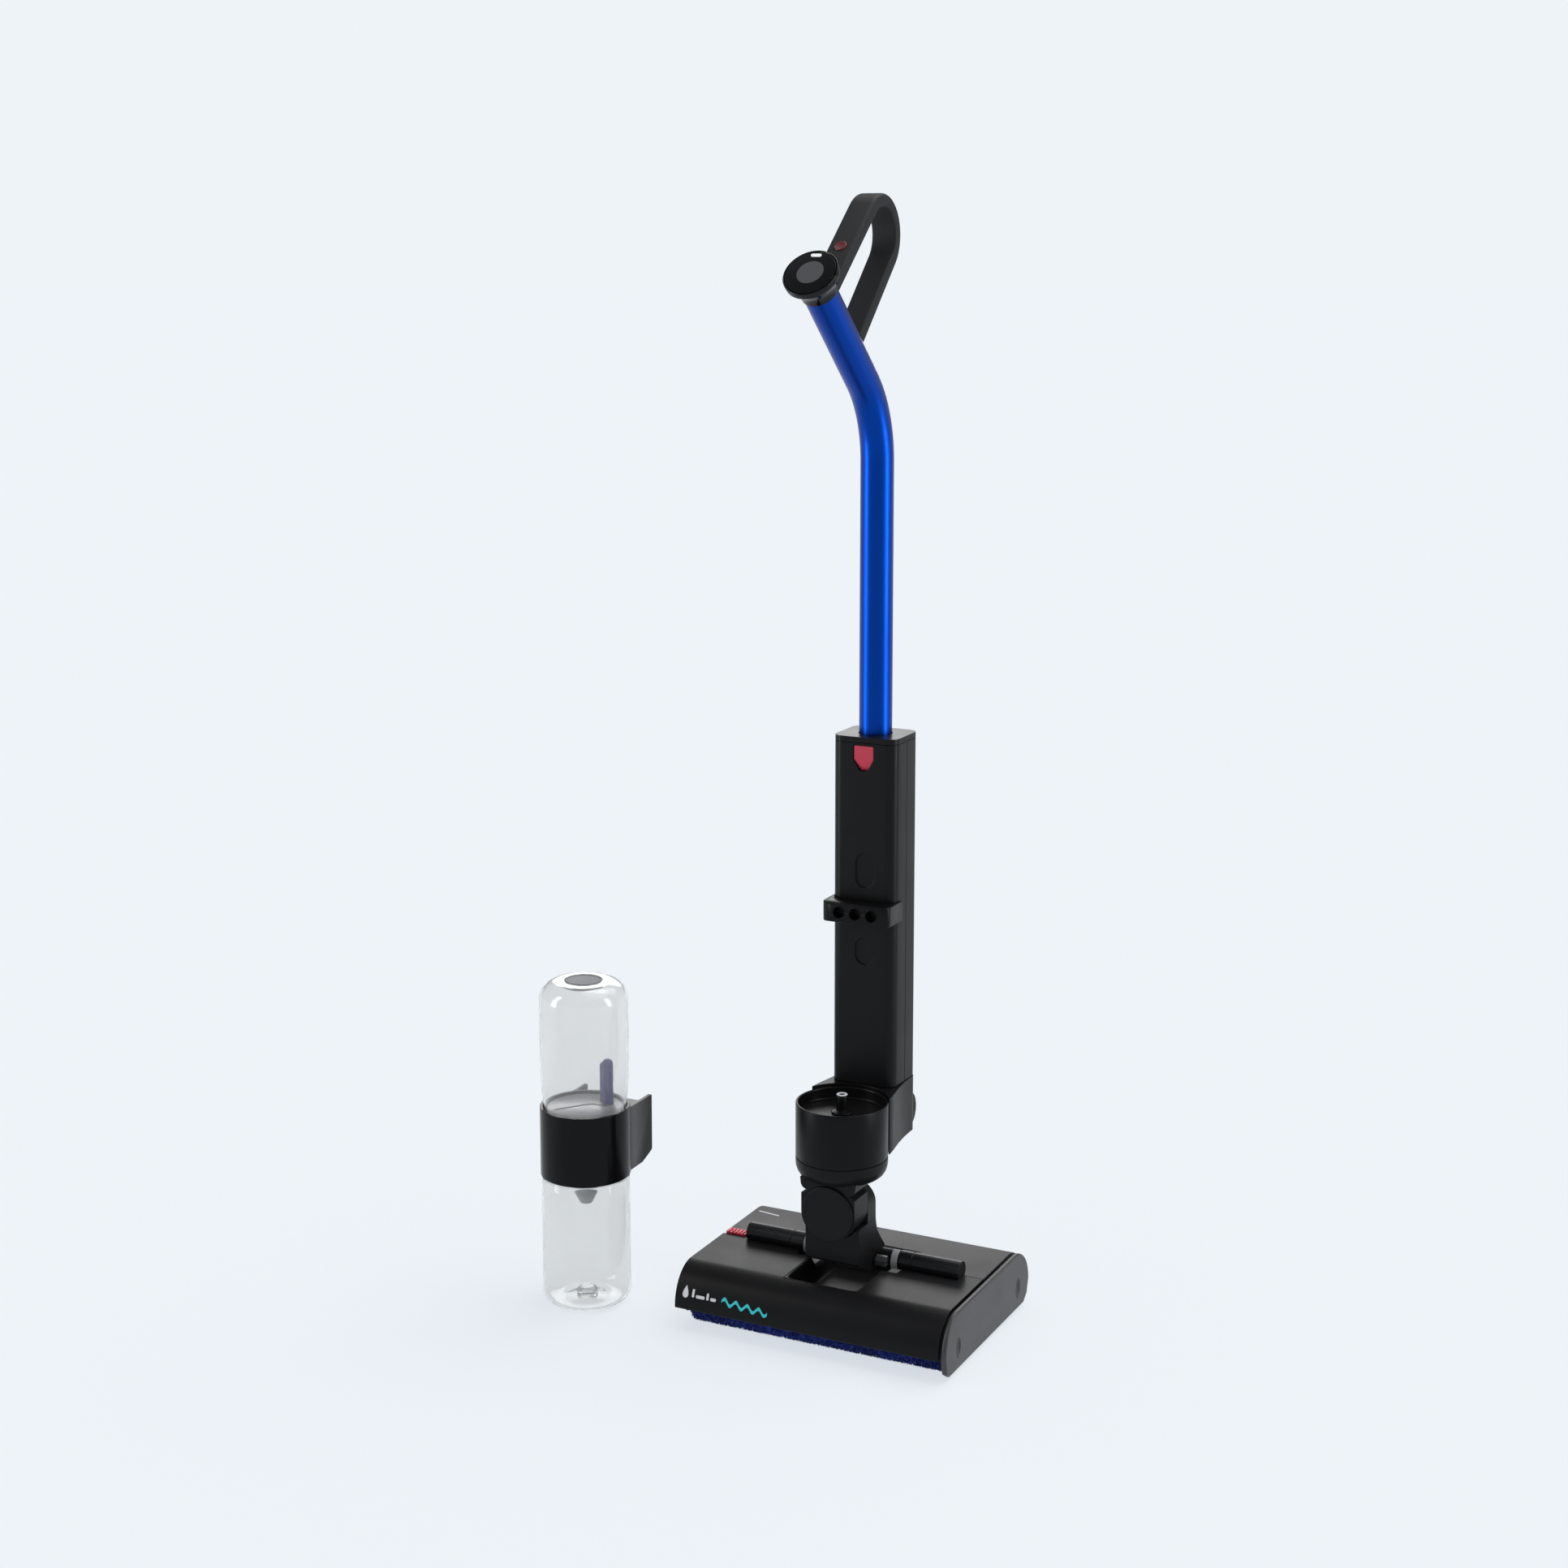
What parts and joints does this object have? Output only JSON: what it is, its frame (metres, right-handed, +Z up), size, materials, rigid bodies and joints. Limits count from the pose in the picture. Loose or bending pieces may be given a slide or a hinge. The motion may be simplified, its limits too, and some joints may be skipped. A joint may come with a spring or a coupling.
{
  "type": "wet dry floor scrubber",
  "caption": "Upright cordless wet floor scrubber with two microfibre rollers, a bent wand with a loop handle, and its lift-off two-bottle tank unit standing beside it.",
  "frame": {"origin": "on the floor, under the middle of the whole set: machine and tank unit together", "axes": "+Z up, +X to the machine's right, -Y towards the user, the side with the controls and the tank cup"},
  "size_m": [0.4664, 0.2444, 1.1434],
  "materials": {
    "black_plastic": "satin black moulded plastic",
    "charcoal_plastic": "fine-grained charcoal plastic",
    "gloss_black": "polished black plastic",
    "navy_microfibre": "dense navy microfibre pile",
    "blue_tube": "blue anodised aluminium",
    "red_plastic": "red moulded plastic",
    "clear_plastic": "clear moulded plastic",
    "grey_plastic": "grey moulded plastic",
    "violet_plastic": "dark violet-blue moulded plastic",
    "soft_grip": "grained soft-touch grip",
    "black_rubber": "black rubber",
    "steel": "bright steel",
    "board_green": "coated circuit board",
    "white_lamp": "white translucent plastic"
  },
  "bodies": {
    "head": {"front_shell": "black_plastic", "rear_cover": "charcoal_plastic", "neck_well": "black_plastic", "left_end_plate": "black_plastic", "right_bearing_plate": "black_plastic", "chassis": "black_plastic", "front_wiper": "black_rubber", "rear_wiper": "black_rubber", "front_roller_motor": "steel", "rear_roller_motor": "steel", "hinge_bar_left": "gloss_black", "hinge_bar_right": "gloss_black"},
    "end_cassette": {"right_end_cap": "charcoal_plastic", "front_debris_tray": "grey_plastic", "rear_debris_tray": "grey_plastic"},
    "front_roller": {"front_roller_core": "grey_plastic", "front_roller_sleeve": "navy_microfibre"},
    "rear_roller": {"rear_roller_core": "grey_plastic", "rear_roller_sleeve": "navy_microfibre"},
    "front_bristles": {"front_bristle_roller": "black_plastic"},
    "rear_bristles": {"rear_bristle_roller": "black_plastic"},
    "release_tab": {"head_release_tab": "red_plastic"},
    "yoke": {"yoke": "black_plastic", "hinge_pin": "steel", "swivel_pin": "steel", "detent_clip_left": "grey_plastic", "detent_clip_right": "grey_plastic"},
    "neck": {"neck_housing": "black_plastic", "pivot_cap": "black_plastic", "tank_cup": "black_plastic", "cup_spigot": "black_plastic", "spigot_seal": "white_lamp", "shoulder": "black_plastic", "rear_neck_cover": "black_plastic", "tower_front": "black_plastic", "tower_rear": "black_plastic", "tower_top_cap": "black_plastic", "wand_socket": "grey_plastic", "battery_pack": "grey_plastic", "water_pump": "steel", "control_board": "board_green", "port_bracket": "black_plastic"},
    "wand_latch": {"wand_latch": "red_plastic"},
    "wand": {"wand_tube": "blue_tube", "display_housing": "gloss_black", "display_lens": "gloss_black", "status_lamp": "white_lamp", "handle_loop": "soft_grip"},
    "power_button": {"power_button": "red_plastic"},
    "lower_tank": {"lower_bottle": "clear_plastic", "base_valve": "grey_plastic"},
    "band": {"tank_band": "gloss_black", "lid_plate": "grey_plastic", "lower_seal": "black_rubber", "upper_seal": "black_rubber", "float_valve": "grey_plastic", "riser_tube": "violet_plastic"},
    "upper_tank": {"upper_bottle": "clear_plastic"},
    "top_plug": {"top_plug": "grey_plastic"}
  },
  "joints": [
    {"name": "cassette_slide", "type": "slide", "parent": "head", "child": "end_cassette", "axis": [1, 0, 0], "range_m": [0, 0.29]},
    {"name": "front_roller_spin", "type": "hinge", "parent": "head", "child": "front_roller", "pos_m": [0.0832, -0.06975, 0.0223], "axis": [1, 0, 0], "continuous": true},
    {"name": "rear_roller_spin", "type": "hinge", "parent": "head", "child": "rear_roller", "pos_m": [0.0832, 0.09025, 0.0223], "axis": [1, 0, 0], "continuous": true},
    {"name": "front_bristle_spin", "type": "hinge", "parent": "head", "child": "front_bristles", "pos_m": [0.0832, -0.03775, 0.0223], "axis": [1, 0, 0], "continuous": true},
    {"name": "rear_bristle_spin", "type": "hinge", "parent": "head", "child": "rear_bristles", "pos_m": [0.0832, 0.05825, 0.0223], "axis": [1, 0, 0], "continuous": true},
    {"name": "tab_slide", "type": "slide", "parent": "head", "child": "release_tab", "axis": [1, 0, 0], "range_m": [0, 0.003], "stiffness_N_per_m": 400},
    {"name": "recline", "type": "hinge", "parent": "head", "child": "yoke", "pos_m": [0.0832, 0.01025, 0.069], "axis": [1, 0, 0], "range_deg": [0, 34]},
    {"name": "neck_swivel", "type": "hinge", "parent": "yoke", "child": "neck", "pos_m": [0.0832, -0.02225, 0.132], "axis": [0, 1, 0], "range_deg": [-45, 45]},
    {"name": "latch_press", "type": "slide", "parent": "neck", "child": "wand_latch", "axis": [0, 1, 0], "range_m": [0, 0.003], "stiffness_N_per_m": 600},
    {"name": "wand_pull", "type": "slide", "parent": "neck", "child": "wand", "axis": [0, 0, 1], "range_m": [0, 0.11]},
    {"name": "button_press", "type": "slide", "parent": "wand", "child": "power_button", "axis": [0, 0.6561, -0.7547], "range_m": [0, 0.0012], "stiffness_N_per_m": 600},
    {"name": "tank_lift", "type": "slide", "parent": "head", "child": "lower_tank", "axis": [0, 0, 1], "range_m": [0, 0.3]},
    {"name": "band_lift", "type": "slide", "parent": "lower_tank", "child": "band", "axis": [0, 0, 1], "range_m": [0, 0.06]},
    {"name": "upper_bottle_lift", "type": "slide", "parent": "band", "child": "upper_tank", "axis": [0, 0, 1], "range_m": [0, 0.08]},
    {"name": "plug_pull", "type": "slide", "parent": "upper_tank", "child": "top_plug", "axis": [0, 0, 1], "range_m": [0, 0.02]}
  ],
  "couplings": [
    {"joint": "rear_roller_spin", "follows": "front_roller_spin", "ratio": -1},
    {"joint": "front_bristle_spin", "follows": "front_roller_spin", "ratio": -2},
    {"joint": "rear_bristle_spin", "follows": "front_roller_spin", "ratio": 2}
  ]
}
